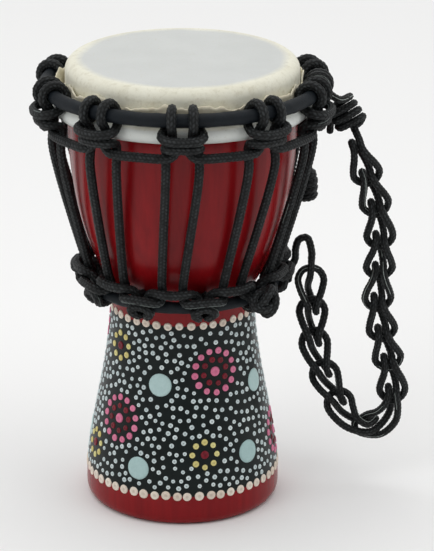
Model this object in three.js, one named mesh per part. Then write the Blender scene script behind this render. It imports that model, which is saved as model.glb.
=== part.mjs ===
import * as THREE from 'three';

// A mini djembe, in millimetres: +Z up, origin in the middle of the foot's underside,
// the front crown knot towards -Y and the carrying strap hanging on the +X side.

// Shell
const shellHeight = 202;
const footRadius = 43.4;
const footEdgeRadius = 39.6;
const footBeadHeight = 6;
const footFlareHeight = 33;
const waistRadius = 31.7;
const waistFlareHeight = 61;
const bowlRadius = 50;
const bowlStartHeight = 104.5;
const waistDrop = 6.5;
const waistHeight = bowlStartHeight - waistDrop;
const bowlBellyRadius = 47.3;
const bowlBellyRise = 12.5;
const bowlBellyHeight = bowlStartHeight + bowlBellyRise;
const bowlShoulderDrop = 34;
const bowlShoulderHeight = shellHeight - bowlShoulderDrop;
const bearingEdgeRound = 4;
const rimInnerRadius = 44.6;
const bowlInnerRadius = 43.6;
const bowlFloorHeight = 112;
const throatRadius = 20.5;
const throatTopHeight = 106;
const throatBottomHeight = 92;
const footBoreRadius = 35.4;
const footBoreFlareHeight = 50;

// Head and its hoop
const skinThickness = 0.7;
const seatGap = 0.3;
const hoopRadius = 2.2;
const hoopDrop = 17.7;
const hoopCentreHeight = shellHeight - hoopDrop;
const flapDrop = 5.6;
const flapHeight = shellHeight - flapDrop;
const flapWave = 0.8;
const flapLean = 2.4;

// Rings bound in cloth
const crownRingRadius = 59.2;
const crownRingDrop = 9;
const crownRingHeight = shellHeight - crownRingDrop;
const crownClothRadius = 3.0;
const crownBackDrop = 3;
const waistRingRadius = 41;
const waistRingDrop = 1.7;
const waistRingHeight = bowlStartHeight - waistRingDrop;
const waistClothRadius = 2.6;
const clothThickness = 0.6;

// Rope: lane is the distance between the middles of two stretches that lie side by side
const ropeRadius = 1.7;
const strapRopeRadius = 1.5;
const ropeGap = 0.4;
const lane = 2 * ropeRadius + 1.5 * ropeGap;
const strapLane = 2 * strapRopeRadius + 1.5 * ropeGap;
// A wrap round a ring turns by wrapStep degrees at a time and is lifted clear of the cloth
const wrapStep = 45;
const cornerReach = 1 / Math.cos((wrapStep / 360) * Math.PI);
const liftOver = (cloth, rope) => (cloth + ropeGap / 2 + rope) * cornerReach;
const crownLift = liftOver(crownClothRadius, ropeRadius);
const waistLift = liftOver(waistClothRadius, ropeRadius);
const strapCrownLift = liftOver(crownClothRadius, strapRopeRadius);
const strapWaistLift = liftOver(waistClothRadius, strapRopeRadius);

// Ten knots stand round each ring; angles are in degrees about +Z
const knotCount = 10;
const fullTurn = 360;
const knotStep = fullTurn / knotCount;
const frontAngle = -90;
const waistHitchAngle = 12.25;
const crownLegAngle = 7;
const waistLegAngle = 12;
const lacingKnotHitch = 1;
const barrelKnotHitch = 3;

// Knots in the rope ends
const ballKnotDistance = 52.4;
const ballKnotRise = 2.2;
const ballKnotHeight = waistRingHeight + ballKnotRise;
const ballKnotAngle = -47;
const ballKnotDeep = 4.5;
const ballKnotWide = 6.6;
const ballKnotTall = 7;
const barrelKnotDistance = 57.6;
const barrelKnotRadius = 4.6;
const barrelKnotTall = 17;
const barrelTailDrop = 16.2;
const barrelTailTop = crownRingHeight - barrelTailDrop;
const barrelTailLength = 27;
const barrelKnotHeight = barrelTailTop - barrelTailLength - seatGap - barrelKnotTall / 2;

// Carrying strap: the line along the middle of its chain of stitches
const strapStitches = 14;
const strapBendAllowance = 8.2;
const swingGap = 0.5;
const strapRoute = [
  [75.4, -2.5, 165.6], [78.6, -1.7, 156.6], [83.4, -0.9, 141.7], [86.7, -0.1, 127.5],
  [87.4, 0.8, 108.4], [87.3, 1.6, 89.0], [90.5, 2.4, 70.4], [94.1, 3.2, 53.5],
  [94.7, 4.0, 40.4], [91.4, 4.8, 31.4], [83.4, 5.6, 26.9], [75.6, 6.4, 31.0],
  [69.6, 7.2, 41.4], [63.6, 8.1, 53.5], [59.4, 8.9, 67.8], [58.3, 9.7, 82.0],
  [57.6, 10.4, 95.0], [57.4, 10.6, 104.6],
];
const strapCoilFoot = [73.7, 0, 173.3];
const strapCoilNeck = [77.3, 2.2, 172.9];
const strapCoilSlope = 33;
const strapCoilTurns = 3;
const strapCoilReach = 3.6;
const strapCoilBend = 2.2;
const strapTopAngle = -1.6;
const strapBottomAngle = 12.25;

const colours = {
  wood: 0x94272c, skin: 0xdcdcd0, steel: 0x9a9c9c, cloth: 0x1e2428, rope: 0x23272a,
};

const radians = (degrees) => (degrees / fullTurn) * 2 * Math.PI;
const polar = (degrees, distance, height) => new THREE.Vector3(
  distance * Math.cos(radians(degrees)), distance * Math.sin(radians(degrees)), height,
);
// The crown ring and what it carries hang lower at the back than in front.
const crownHang = crownBackDrop / (2 * crownRingRadius);
const hung = (place) => place.setZ(place.z - crownHang * (place.y + crownRingRadius));
const degreesAlong = (length, distance) => (length / distance / 2 / Math.PI) * fullTurn;
const range = (count) => Array.from({ length: count }, (_, index) => index);
const mix = (from, to, share) => from + (to - from) * share;

// One closed body from rings of points, each ring joined to the next and its faces out.
function bandMesh(name, colour, rings, endless) {
  const width = rings[0].length;
  const points = rings.flat();
  const index = [];
  const face = (a, b, c) => {
    const same = (p, q) => points[p].distanceToSquared(points[q]) < 1e-10;
    if (!same(a, b) && !same(b, c) && !same(c, a)) index.push(a, b, c);
  };
  for (const i of range(endless ? rings.length : rings.length - 1)) {
    const here = i * width;
    const next = ((i + 1) % rings.length) * width;
    for (const j of range(width)) {
      const k = (j + 1) % width;
      face(here + j, here + k, next + k);
      face(here + j, next + k, next + j);
    }
  }
  if (!endless) {
    const last = (rings.length - 1) * width;
    for (const j of range(width - 2)) {
      face(0, j + 2, j + 1);
      face(last, last + j + 1, last + j + 2);
    }
  }
  let volume = 0;
  for (let f = 0; f < index.length; f += 3) {
    const [a, b, c] = [points[index[f]], points[index[f + 1]], points[index[f + 2]]];
    volume += a.dot(b.clone().cross(c));
  }
  if (volume < 0) index.reverse();
  const geometry = new THREE.BufferGeometry().setFromPoints(points);
  geometry.setIndex(index);
  geometry.computeVertexNormals();
  const mesh = new THREE.Mesh(geometry, new THREE.MeshStandardMaterial({ color: colour }));
  mesh.name = name;
  return mesh;
}

// A turned body: profileAt gives the closed outline, as [distance, height], at each angle.
function turnedMesh(name, colour, profileAt, segments, settle = (place) => place) {
  const rings = range(segments).map((i) => {
    const angle = frontAngle + (i * fullTurn) / segments;
    return profileAt(angle).map(([distance, height]) => settle(polar(angle, distance, height)));
  });
  return bandMesh(name, colour, rings, true);
}

// A domed end's rings, as shares of the tube's radius: how wide, and how far from the tip.
const domeShares = [[0.35, 0], [0.82, 0.42], [1, 1]];

// A tube along a route of points, with a ring of corners square to the route at each.
function ropeMesh(name, colour, route, radius, sides, endless, domes = []) {
  const count = route.length;
  const at = (i) => (endless ? route[(i + count) % count]
    : route[Math.min(Math.max(i, 0), count - 1)]);
  const tangents = range(count).map((i) => at(i + 1).clone().sub(at(i - 1)).normalize());
  const normals = [new THREE.Vector3(0, 0, 1).cross(tangents[0]).normalize()];
  const carry = (normal, from, to) => normal.clone().applyQuaternion(
    new THREE.Quaternion().setFromUnitVectors(from, to),
  );
  for (const i of range(count - 1)) {
    normals.push(carry(normals[i], tangents[i], tangents[i + 1]));
  }
  let twist = 0;
  if (endless) {
    const back = carry(normals[count - 1], tangents[count - 1], tangents[0]);
    const side = tangents[0].clone().cross(normals[0]);
    const full = (2 * Math.PI) / sides;
    twist = Math.atan2(back.dot(side), back.dot(normals[0]));
    twist -= full * Math.round(twist / full);
  }
  const ring = (point, i, reach) => {
    const side = tangents[i].clone().cross(normals[i]);
    const turnBack = (-twist * i) / count;
    return range(sides).map((j) => {
      const angle = (j / sides) * 2 * Math.PI + turnBack;
      return point.clone().addScaledVector(normals[i], reach * Math.cos(angle))
        .addScaledVector(side, reach * Math.sin(angle));
    });
  };
  const dome = (i, inward) => domeShares.map(([share, back]) => ring(
    route[i].clone().addScaledVector(tangents[i], inward * back * radius), i, share * radius,
  ));
  const rings = route.map((point, i) => ring(point, i, radius));
  if (domes.includes('end')) rings.splice(count - 1, 1, ...dome(count - 1, -1).reverse());
  if (domes.includes('start')) rings.splice(0, 1, ...dome(0, 1));
  if (!endless || twist === 0) return bandMesh(name, colour, rings, endless);
  return closeTwisted(name, colour, rings, sides);
}

// Joins a tube's last ring to its first by the corners that lie nearest each other.
function closeTwisted(name, colour, rings, sides) {
  const last = rings[rings.length - 1];
  const shift = range(sides).map((offset) => range(sides).reduce((sum, j) => (
    sum + last[(j + offset) % sides].distanceTo(rings[0][j])), 0));
  const best = shift.indexOf(Math.min(...shift));
  if (best === 0) return bandMesh(name, colour, rings, true);
  const turned = rings.map((ring, i) => {
    const share = Math.round((best * i) / rings.length);
    return share === 0 ? ring : ring.map((_, j) => ring[(j + share) % sides]);
  });
  return bandMesh(name, colour, turned, true);
}

// Points of a curve with two handles, from its start up to but not at its end.
function handled([p0, p1, p2, p3], steps) {
  return range(steps).map((i) => {
    const t = i / steps;
    const s = 1 - t;
    const blend = (k) => (s * s * s * p0[k] + 3 * s * s * t * p1[k]
      + 3 * s * t * t * p2[k] + t * t * t * p3[k]);
    return [blend(0), blend(1)];
  });
}

function arc(centre, radius, from, to, steps) {
  return range(steps + 1).map((i) => {
    const angle = radians(mix(from, to, i / steps));
    return [centre[0] + radius * Math.cos(angle), centre[1] + radius * Math.sin(angle)];
  });
}

function shell() {
  const edgeCentre = [bowlRadius - bearingEdgeRound, shellHeight - bearingEdgeRound];
  const beadShares = [[0, 0], [0.62, 0.2], [0.95, 0.56]];
  const bead = beadShares.map(([out, up]) => [
    mix(footEdgeRadius, footRadius, out), up * footBeadHeight,
  ]);
  const profile = [
    ...bead,
    ...handled([[footRadius, footBeadHeight], [footRadius, footFlareHeight],
      [waistRadius, waistFlareHeight], [waistRadius, waistHeight]], 6),
    ...handled([[waistRadius, waistHeight], [waistRadius, bowlStartHeight],
      [bowlBellyRadius, bowlBellyHeight], [bowlRadius, bowlShoulderHeight]], 7),
    [bowlRadius, bowlShoulderHeight],
    ...arc(edgeCentre, bearingEdgeRound, 0, 90, 3),
    [rimInnerRadius, shellHeight],
    ...handled([[bowlInnerRadius, bowlShoulderHeight], [bowlInnerRadius, bowlBellyHeight],
      [bowlInnerRadius, bowlFloorHeight], [throatRadius, throatTopHeight]], 5),
    [throatRadius, throatTopHeight],
    ...handled([[throatRadius, throatBottomHeight], [throatRadius, footBoreFlareHeight],
      [footBoreRadius, footFlareHeight], [footBoreRadius, 0]], 4),
    [footBoreRadius, 0],
  ];
  return turnedMesh('shell', colours.wood, () => profile, 40);
}

// The outline of a sheet of the skin's thickness that follows a line from the axis outwards.
function sheetOutline(line) {
  const side = (sign) => line.map(([distance, height], i) => {
    const before = line[Math.max(i - 1, 0)];
    const after = line[Math.min(i + 1, line.length - 1)];
    const along = new THREE.Vector2(after[0] - before[0], after[1] - before[1]).normalize();
    if (i === 0) along.set(1, 0);
    const reach = (sign * skinThickness) / 2;
    return [i === 0 ? 0 : distance - along.y * reach, height + along.x * reach];
  });
  return [...side(1), ...side(-1).reverse()];
}

const hoopCentreRadius = bowlRadius + 2 * seatGap + skinThickness + hoopRadius;
const knotNearness = (angle) => {
  const away = Math.sin(radians(((angle - frontAngle) * knotCount) / 2)) ** 2;
  return 1 - away * away;
};

function drumheadSkin() {
  const mid = skinThickness / 2 + seatGap;
  const edgeCentre = [bowlRadius - bearingEdgeRound, shellHeight - bearingEdgeRound];
  const wrap = hoopRadius + mid;
  const hoop = [hoopCentreRadius, hoopCentreHeight];
  const flap = hoopCentreRadius - wrap + skinThickness + seatGap - 0.05 * skinThickness;
  return turnedMesh('drumhead_skin', colours.skin, (angle) => {
    const tieNearness = Math.exp(-((((angle - strapTopAngle) / wrapStep) * 5) ** 2));
    const lean = flapLean * (1 - knotNearness(angle)) * (1 - tieNearness);
    const wave = flapWave * (Math.sin(radians(angle * 7)) + Math.sin(radians(angle * 13)));
    const fold = [
      ...arc(hoop, wrap, 180, 450, 6),
      [flap, hoopCentreHeight + 0.74 * wrap],
      [flap + 0.1 * lean, hoopCentreHeight + 1.6 * wrap],
      [flap + 0.5 * lean, mix(hoopCentreHeight, flapHeight, 0.7)],
      [flap + lean, flapHeight + wave],
    ];
    return sheetOutline([
      [0, shellHeight + mid],
      ...arc(edgeCentre, bearingEdgeRound + mid, 90, 0, 3),
      ...fold.map(([distance, height]) => [distance, hung(polar(angle, distance, height)).z]),
    ]);
  }, 40);
}

const sectionPolygon = (centre, radius, angles) => angles.map((degrees) => [
  centre[0] + radius * Math.cos(radians(degrees)), centre[1] + radius * Math.sin(radians(degrees)),
]);

function barRing(name, colour, centre, radius, sides, segments, settle) {
  const angles = range(sides).map((i) => (i * fullTurn) / sides);
  const profile = sectionPolygon(centre, radius, angles);
  return turnedMesh(name, colour, () => profile, segments, settle);
}

// Cloth strip wound along a ring's bar; its edges leave a fine slit on the inner, lower side.
function clothRing(name, centre, radius, segments, settle) {
  const slit = [232, 248];
  const inside = radius - clothThickness;
  const outerAngles = [slit[1] - fullTurn, ...range(7).map((i) => -90 + i * 45), slit[0]];
  const innerAngles = [slit[0], ...range(5).map((i) => 180 - i * 60), slit[1] - fullTurn];
  const profile = [
    ...sectionPolygon(centre, radius, outerAngles),
    ...sectionPolygon(centre, inside, innerAngles),
  ];
  return turnedMesh(name, colours.cloth, () => profile, segments, settle);
}

// A point beside a knot: along the ring, and out from and above the ring's middle.
const besideRing = (ringRadius, ringHeight) => (knotAngle, [along, out, up]) => polar(
  knotAngle + degreesAlong(along, ringRadius), ringRadius + out, ringHeight + up,
);
const roundRing = (lift) => (along, degrees) => [
  along, lift * Math.cos(radians(degrees)), lift * Math.sin(radians(degrees)),
];
const besideCrown = (...at) => hung(besideRing(crownRingRadius, crownRingHeight)(...at));
const besideWaist = besideRing(waistRingRadius, waistRingHeight);
const mirrored = ([along, out, up]) => [-along, out, up];

// Half of a crown knot, from the slack loop beside it to the bar in front of its strands.
function crownHalfKnot() {
  const round = roundRing(crownLift);
  const below = (lanes) => -crownLift - lanes * lane;
  return [
    [1.75 * lane, 0.42 * lane, below(2.72)], [1.2 * lane, 0.26 * lane, below(2.6)],
    [0.66 * lane, 0.1 * lane, below(1.95)], [0.98 * lane, 0.02 * lane, below(1.05)],
    round(1.04 * lane, -60), round(1.05 * lane, -15), round(1.06 * lane, 30),
    round(1.08 * lane, 75), round(1.16 * lane, 120), round(1.36 * lane, 165),
    round(1.66 * lane, 210), round(1.96 * lane, 255),
    [2.1 * lane, 0.72 * lane, below(0.25)], [1.62 * lane, 1.46 * lane, below(0.42)],
  ];
}

function crownCradle() {
  const half = crownHalfKnot();
  const swag = [0, 0.4 * lane, -crownLift - 2.75 * lane];
  const bar = [0, 1.8 * lane, -crownLift - 0.55 * lane];
  const route = range(knotCount).flatMap((i) => {
    const knot = frontAngle + i * knotStep;
    return [
      besideCrown(knot - knotStep / 2, swag),
      ...half.map((place) => besideCrown(knot, mirrored(place))),
      besideCrown(knot, bar),
      ...half.slice().reverse().map((place) => besideCrown(knot, place)),
    ];
  });
  return ropeMesh('crown_cradle_rope', colours.rope, route, ropeRadius, 5, true);
}

// Half of a waist hitch, from the slack loop over the ring and round it to the bar in front.
function waistHalfHitch() {
  const round = roundRing(waistLift);
  return [
    [2.2 * lane, 1.46 * lane, waistLift + 0.76 * lane],
    [1.55 * lane, 1.22 * lane, waistLift + 0.74 * lane],
    [1.0 * lane, 0.64 * lane, waistLift + 0.46 * lane],
    round(0.56 * lane, 78), round(0.52 * lane, 120), round(0.58 * lane, 162),
    round(0.74 * lane, 204), round(0.96 * lane, 246), round(1.2 * lane, 288),
    round(1.36 * lane, 325), round(0.9 * lane, 356),
  ];
}

function waistCradle() {
  const half = waistHalfHitch();
  const swag = [0, 1.48 * lane, waistLift + 0.7 * lane];
  const bar = roundRing(waistLift)(0, 370);
  const route = range(knotCount).flatMap((i) => {
    const knot = frontAngle + waistHitchAngle + i * knotStep;
    return [
      besideWaist(knot - knotStep / 2, swag),
      ...half.map((place) => besideWaist(knot, mirrored(place))),
      besideWaist(knot, bar),
      ...half.slice().reverse().map((place) => besideWaist(knot, place)),
    ];
  });
  return ropeMesh('waist_cradle_rope', colours.rope, route, ropeRadius, 5, true);
}

const crownPlace = (degrees, outLanes, downLanes) => hung(polar(
  degrees, crownRingRadius + outLanes * lane, crownRingHeight - crownLift - downLanes * lane,
));
const waistPlace = (degrees, outLanes, upLanes) => polar(
  degrees, waistRingRadius + outLanes * lane, waistRingHeight + waistLift + upLanes * lane,
);

// From the left leg's foot up, over the crown loops in front of a knot, and down again.
function lacingUpperTurn(knot) {
  const foot = knot + waistHitchAngle - knotStep / 2;
  const footReach = knotStep / 2 - waistLegAngle;
  const side = (sign) => [
    waistPlace(foot + sign * footReach, 0.28, 0.66),
    waistPlace(foot + sign * footReach, 0.58, 1.46),
    crownPlace(knot + sign * crownLegAngle, -0.45, 4.7),
    crownPlace(knot + sign * crownLegAngle, -0.58, 2.85),
    crownPlace(knot + sign * crownLegAngle, -0.48, 2.0),
    crownPlace(knot + sign * crownLegAngle, 0.3, 1.62),
    crownPlace(knot + sign * crownLegAngle * 0.72, 1.16, 1.5),
  ];
  return [...side(-1), crownPlace(knot, 1.4, 1.46), ...side(1).reverse()];
}

// From one leg's foot under the waist loop, in front of a hitch and back to the next leg.
function lacingLowerTurn(hitch) {
  const half = [
    [0.97, 0.72, -0.15], [0.8, 1.3, -0.3], [0.56, 1.66, -0.2],
  ];
  const side = (sign) => half.map(([share, out, up]) => (
    waistPlace(hitch + sign * share * waistLegAngle, out, up)));
  return [...side(-1), waistPlace(hitch, 1.74, -0.1), ...side(1).reverse()];
}

function lacingEnd(hitch, sign) {
  return [
    waistPlace(hitch + sign * 0.97 * waistLegAngle, 0.72, -0.15),
    waistPlace(hitch + sign * 0.86 * waistLegAngle, 1.3, -0.3),
  ];
}

function lacing() {
  const route = range(knotCount).flatMap((i) => {
    const knot = frontAngle + (lacingKnotHitch + 1 + i) * knotStep;
    const hitch = knot + waistHitchAngle;
    return [...lacingUpperTurn(knot), ...(i < knotCount - 1 ? lacingLowerTurn(hitch) : [])];
  });
  const hitch = frontAngle + waistHitchAngle + lacingKnotHitch * knotStep;
  const reach = degreesAlong(ballKnotWide + seatGap, ballKnotDistance);
  const knotSide = (sign) => polar(ballKnotAngle + sign * reach * 1.24,
    ballKnotDistance - 0.35 * ballKnotDeep, ballKnotHeight);
  const full = [
    knotSide(1), ...lacingEnd(hitch, 1).reverse(), ...route, ...lacingEnd(hitch, -1), knotSide(-1),
  ];
  return ropeMesh('lacing_rope', colours.rope, full, ropeRadius, 5, false);
}

// A round knot: rings of points about its upright middle line, pulled in where it is waisted.
function knotMesh(name, angle, distance, height, deep, wide, tall, waisting) {
  const levels = 8;
  const out = polar(angle, 1, 0);
  const along = polar(angle + fullTurn / 4, 1, 0);
  const rings = range(levels + 1).map((i) => {
    const tilt = Math.PI * (mix(0.06, 0.94, i / levels));
    const swell = Math.sin(tilt) * (1 - waisting * Math.sin(tilt) ** 8);
    return range(10).map((j) => {
      const turn = (j / 10) * 2 * Math.PI;
      return polar(angle, distance, height - tall / 2 * Math.cos(tilt))
        .addScaledVector(out, deep * swell * Math.cos(turn))
        .addScaledVector(along, wide * swell * Math.sin(turn));
    });
  });
  return bandMesh(name, colours.rope, rings, false);
}

function lacingKnot() {
  return knotMesh('lacing_end_knot', ballKnotAngle, ballKnotDistance, ballKnotHeight,
    ballKnotDeep, ballKnotWide, 2 * ballKnotTall, 0);
}

const barrelKnotAngle = frontAngle + barrelKnotHitch * knotStep - 2;
function barrelKnot() {
  const middle = hung(polar(barrelKnotAngle, barrelKnotDistance, barrelKnotHeight));
  return knotMesh('crown_rope_knot', barrelKnotAngle, barrelKnotDistance, middle.z,
    barrelKnotRadius, 1.12 * barrelKnotRadius, barrelKnotTall, 0.22);
}

// The crown rope's two ends, from behind the last crown knot down into the barrel knot.
function barrelTail(name, sign) {
  const foot = barrelTailTop - barrelTailLength;
  const spread = degreesAlong(0.52 * lane, barrelKnotDistance);
  const knot = frontAngle + barrelKnotHitch * knotStep;
  const place = (share) => hung(polar(mix(barrelKnotAngle, knot, share) + sign * spread,
    barrelKnotDistance - 0.25 * lane * share, mix(foot, barrelTailTop, share)));
  return ropeMesh(name, colours.rope, range(5).map((i) => place(i / 4)), ropeRadius, 6, false);
}

// One chain stitch as shares: to the side and to the front of the strap rope's lane, and
// along one stitch. It rises on one side, turns over, comes down and steps on behind.
const risingShares = [
  [-0.51, -0.02, -0.08], [-0.52, 0.17, 0.68], [-0.87, 0.46, 0.82], [-1.36, 0.77, 0.48],
  [-1.59, 1.08, 0.01], [-1.0, 1.32, -0.28],
];
const stitchShares = [
  ...risingShares, [0, 1.41, -0.2],
  ...risingShares.slice().reverse().map(([side, on, front]) => [-side, on, front]),
  [0.35, 0.12, -0.93], [-0.04, 0.4, -1.3], [-0.36, 0.71, -0.83],
];
const chainStartShares = [-0.43, -0.18, -0.62];
const chainEndShares = [[-0.3, 0.98, 0.1], [-0.12, 1.2, 0.8], [0, 1.5, 1.05], [0.05, 1.75, 1.0]];

// Places on the strap by stitches counted from its top; stitches open where it bends.
function strapLine() {
  const curve = new THREE.CatmullRomCurve3(
    strapRoute.map((place) => new THREE.Vector3(...place)), false, 'centripetal',
  );
  const samples = 300;
  const points = range(samples + 1).map((i) => curve.getPoint(i / samples));
  const slope = (i) => {
    const reach = 6;
    const low = Math.max(i - reach, 0);
    const high = Math.min(i + reach, samples);
    return points[high].clone().sub(points[low]).normalize();
  };
  const counted = [0];
  for (const i of range(samples)) {
    const length = points[i + 1].distanceTo(points[i]);
    const low = Math.max(i - 6, 0);
    const high = Math.min(i + 7, samples);
    const bend = slope(low).angleTo(slope(high))
      / range(high - low).reduce((sum, j) => sum + points[low + j + 1].distanceTo(points[low + j]), 0);
    counted.push(counted[i] + length / (1 + bend * strapBendAllowance));
  }
  const scale = (strapStitches + 0.62) / counted[samples];
  const front = new THREE.Vector3(0, -1, 0);
  return ([side, on, forward], stitch) => {
    const target = (stitch + on + 0.02) / scale;
    let i = 0;
    while (i < samples - 1 && counted[i + 1] < target) i += 1;
    const share = (target - counted[i]) / (counted[i + 1] - counted[i]);
    const place = points[i].clone().lerp(points[i + 1], share);
    const tangent = slope(i).lerp(slope(i + 1), share).normalize();
    const across = tangent.clone().cross(front).normalize();
    const towards = across.clone().cross(tangent);
    return place.addScaledVector(across, side * strapLane)
      .addScaledVector(towards, forward * strapLane);
  };
}

function strapChainRoute() {
  const place = strapLine();
  return [
    place(chainStartShares, 0),
    ...range(strapStitches).flatMap((stitch) => stitchShares.map((p) => place(p, stitch))),
    ...chainEndShares.map((p) => place(p, strapStitches - 1)),
  ];
}

const strapChainPoints = strapChainRoute();

function strapChain() {
  return ropeMesh('strap_chain', colours.rope, strapChainPoints, strapRopeRadius, 5, false,
    ['start', 'end']);
}

// Two points past a route's end, in line with it, where the next rope takes over.
function takeOver(end, before) {
  const onward = end.clone().sub(before).normalize();
  return [swingGap, swingGap + 2 * strapRopeRadius].map((distance) => (
    end.clone().addScaledVector(onward, distance)));
}

// The tie's spare rope, coiled flat in front of the slack loop. Its places are to the side
// and above the middle of the lowest turn, along a turn and across to the next.
function strapCoil() {
  const slope = radians(strapCoilSlope);
  const way = new THREE.Vector3(Math.cos(slope), 0, Math.sin(slope));
  const onward = new THREE.Vector3(-Math.sin(slope), 0, Math.cos(slope));
  const corners = 6;
  return range(strapCoilTurns * corners + 1).map((i) => {
    const angle = (i / corners) * 2 * Math.PI;
    const side = Math.sign(Math.round(2 * Math.cos(angle)));
    return new THREE.Vector3(...strapCoilFoot)
      .addScaledVector(way, side * strapCoilReach + strapCoilBend * Math.cos(angle))
      .add(new THREE.Vector3(0, -strapCoilBend * Math.sin(angle), 0))
      .addScaledVector(onward, (i / corners) * strapLane);
  });
}

// Coiled, then turned twice round the crown ring; its cut end hangs beside the coil.
function strapTopTie() {
  const beside = (along, degrees) => besideCrown(strapTopAngle,
    roundRing(strapCrownLift)(along * strapLane, degrees));
  const place = (along, out, down) => besideCrown(strapTopAngle,
    [along * lane, out * lane, -crownLift - down * lane]);
  const wraps = range(15).map((i) => beside(mix(-1, 1.1, i / 14), -30 + i * wrapStep));
  return ropeMesh('strap_top_tie', colours.rope, [
    ...takeOver(strapChainPoints[0], strapChainPoints[1]),
    new THREE.Vector3(...strapCoilNeck), ...strapCoil(), place(-1, 2.2, 0.1), ...wraps,
    place(1.35, 0.8, 0.95), place(1.9, 1.4, 2.3), place(2, 1.5, 3.6), place(1.95, 1.45, 5),
  ], strapRopeRadius, 5, false, ['start']);
}

// Turned once round the waist ring, in under it and out over it, with its cut end in front.
function strapBottomTie() {
  const beside = (along, degrees) => besideWaist(strapBottomAngle,
    roundRing(strapWaistLift)(along * strapLane, degrees));
  const place = (along, out, up) => besideWaist(strapBottomAngle,
    [along * lane, out * lane, up * lane]);
  const wraps = range(8).map((i) => beside(mix(-0.55, 0.55, i / 7), -30 - i * wrapStep));
  const last = strapChainPoints.length - 1;
  return ropeMesh('strap_bottom_tie', colours.rope, [
    ...takeOver(strapChainPoints[last], strapChainPoints[last - 1]),
    place(-0.7, 3.75, 3.6), place(-0.6, 2.9, 3.4), place(-0.45, 2.55, 2.3),
    place(-0.4, 2.5, 1.0), place(-0.5, 1.85, 0),
    ...wraps, place(0.6, 1.9, 0.1), place(0.7, 2.2, -1.0), place(0.7, 2.1, -2.3),
  ], strapRopeRadius, 5, false, ['start']);
}

// Least gap that a rope keeps to itself, from its own line and thickness.
function leastGap(route, radius, endless) {
  const count = route.length;
  const line = range(endless ? count : count - 1).flatMap((i) => range(4).map((j) => (
    route[i].clone().lerp(route[(i + 1) % count], j / 4))));
  const walked = line.reduce((sums, p, i) => (
    [...sums, i ? sums[i - 1] + p.distanceTo(line[i - 1]) : 0]), []);
  const total = walked[walked.length - 1];
  const neighbourhood = 5 * radius;
  let least = total;
  line.forEach((p, i) => line.slice(i + 1).forEach((q, k) => {
    const between = walked[i + 1 + k] - walked[i];
    const apart = endless ? Math.min(between, total - between) : between;
    if (apart > neighbourhood) least = Math.min(least, p.distanceTo(q));
  }));
  return least - 2 * radius;
}
console.log('strap_chain least gap to itself, mm:',
  leastGap(strapChainPoints, strapRopeRadius, false).toFixed(2));

const crownRing = [crownRingRadius, crownRingHeight];
const waistRing = [waistRingRadius, waistRingHeight];
const coreRadius = (cloth) => cloth - clothThickness - seatGap;

const group = new THREE.Group();
group.name = 'mini_djembe';
group.add(
  shell(),
  drumheadSkin(),
  barRing('flesh_hoop', colours.steel, [hoopCentreRadius, hoopCentreHeight], hoopRadius, 8, 40,
    hung),
  barRing('crown_ring', colours.steel, crownRing, coreRadius(crownClothRadius), 6, 40, hung),
  clothRing('crown_ring_cloth', crownRing, crownClothRadius, 40, hung),
  barRing('waist_ring', colours.steel, waistRing, coreRadius(waistClothRadius), 6, 30),
  clothRing('waist_ring_cloth', waistRing, waistClothRadius, 30),
  crownCradle(),
  waistCradle(),
  lacing(),
  lacingKnot(),
  barrelKnot(),
  barrelTail('crown_rope_tail_left', -1),
  barrelTail('crown_rope_tail_right', 1),
  strapChain(),
  strapTopTie(),
  strapBottomTie(),
);
export default group;
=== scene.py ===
import math

import bmesh
import bpy
import numpy as np
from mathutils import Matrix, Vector


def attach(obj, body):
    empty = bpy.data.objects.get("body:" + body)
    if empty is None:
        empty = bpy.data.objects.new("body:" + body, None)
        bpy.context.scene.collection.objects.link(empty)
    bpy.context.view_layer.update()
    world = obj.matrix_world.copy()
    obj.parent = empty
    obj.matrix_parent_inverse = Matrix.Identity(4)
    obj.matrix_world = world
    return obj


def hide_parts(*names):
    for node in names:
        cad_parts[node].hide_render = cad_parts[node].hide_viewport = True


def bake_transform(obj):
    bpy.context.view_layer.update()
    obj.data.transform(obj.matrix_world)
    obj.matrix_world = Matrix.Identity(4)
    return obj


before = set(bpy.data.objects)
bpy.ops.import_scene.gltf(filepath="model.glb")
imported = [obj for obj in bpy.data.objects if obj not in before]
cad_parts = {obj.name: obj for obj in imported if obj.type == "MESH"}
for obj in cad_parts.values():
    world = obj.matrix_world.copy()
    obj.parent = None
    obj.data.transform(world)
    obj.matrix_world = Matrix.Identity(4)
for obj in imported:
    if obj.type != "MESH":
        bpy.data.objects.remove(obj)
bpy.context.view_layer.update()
scene = bpy.context.scene
mm = 0.001

# Camera: a long lens 1.2 m in front and above, as fitted to the drum's outline.
photo_height, lens_pixels = 551, 2885.84
camera = bpy.data.objects.new("camera", bpy.data.cameras.new("camera"))
scene.collection.objects.link(camera)
camera.location = (0, -1.2, 0.555)
camera.rotation_euler = (math.radians(90 - 20.67), 0, 0)
camera.data.sensor_width = 36
camera.data.lens = 36 * lens_pixels / photo_height
camera.data.shift_x = 34.48 / photo_height
camera.data.clip_start, camera.data.clip_end = 0.05, 30
scene.camera = camera

# Carrying strap: one black braided rope, 3.2 mm thick, chained into 14 stitches and hanging
# from the crown ring to the waist ring. It is the drum's only free cord, so it is made first,
# with the tube tree and the rope finish that all the drum's ropes share. Its ends run on past
# the chain's ends into its ties, so the rope stays whole where it meets them.
braid_columns, braid_pick, braid_relief = 8, 1.75, 0.15


def polar(degrees, distance, height):
    turn = np.radians(degrees)
    return np.array([distance * np.cos(turn), distance * np.sin(turn), height])


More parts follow.
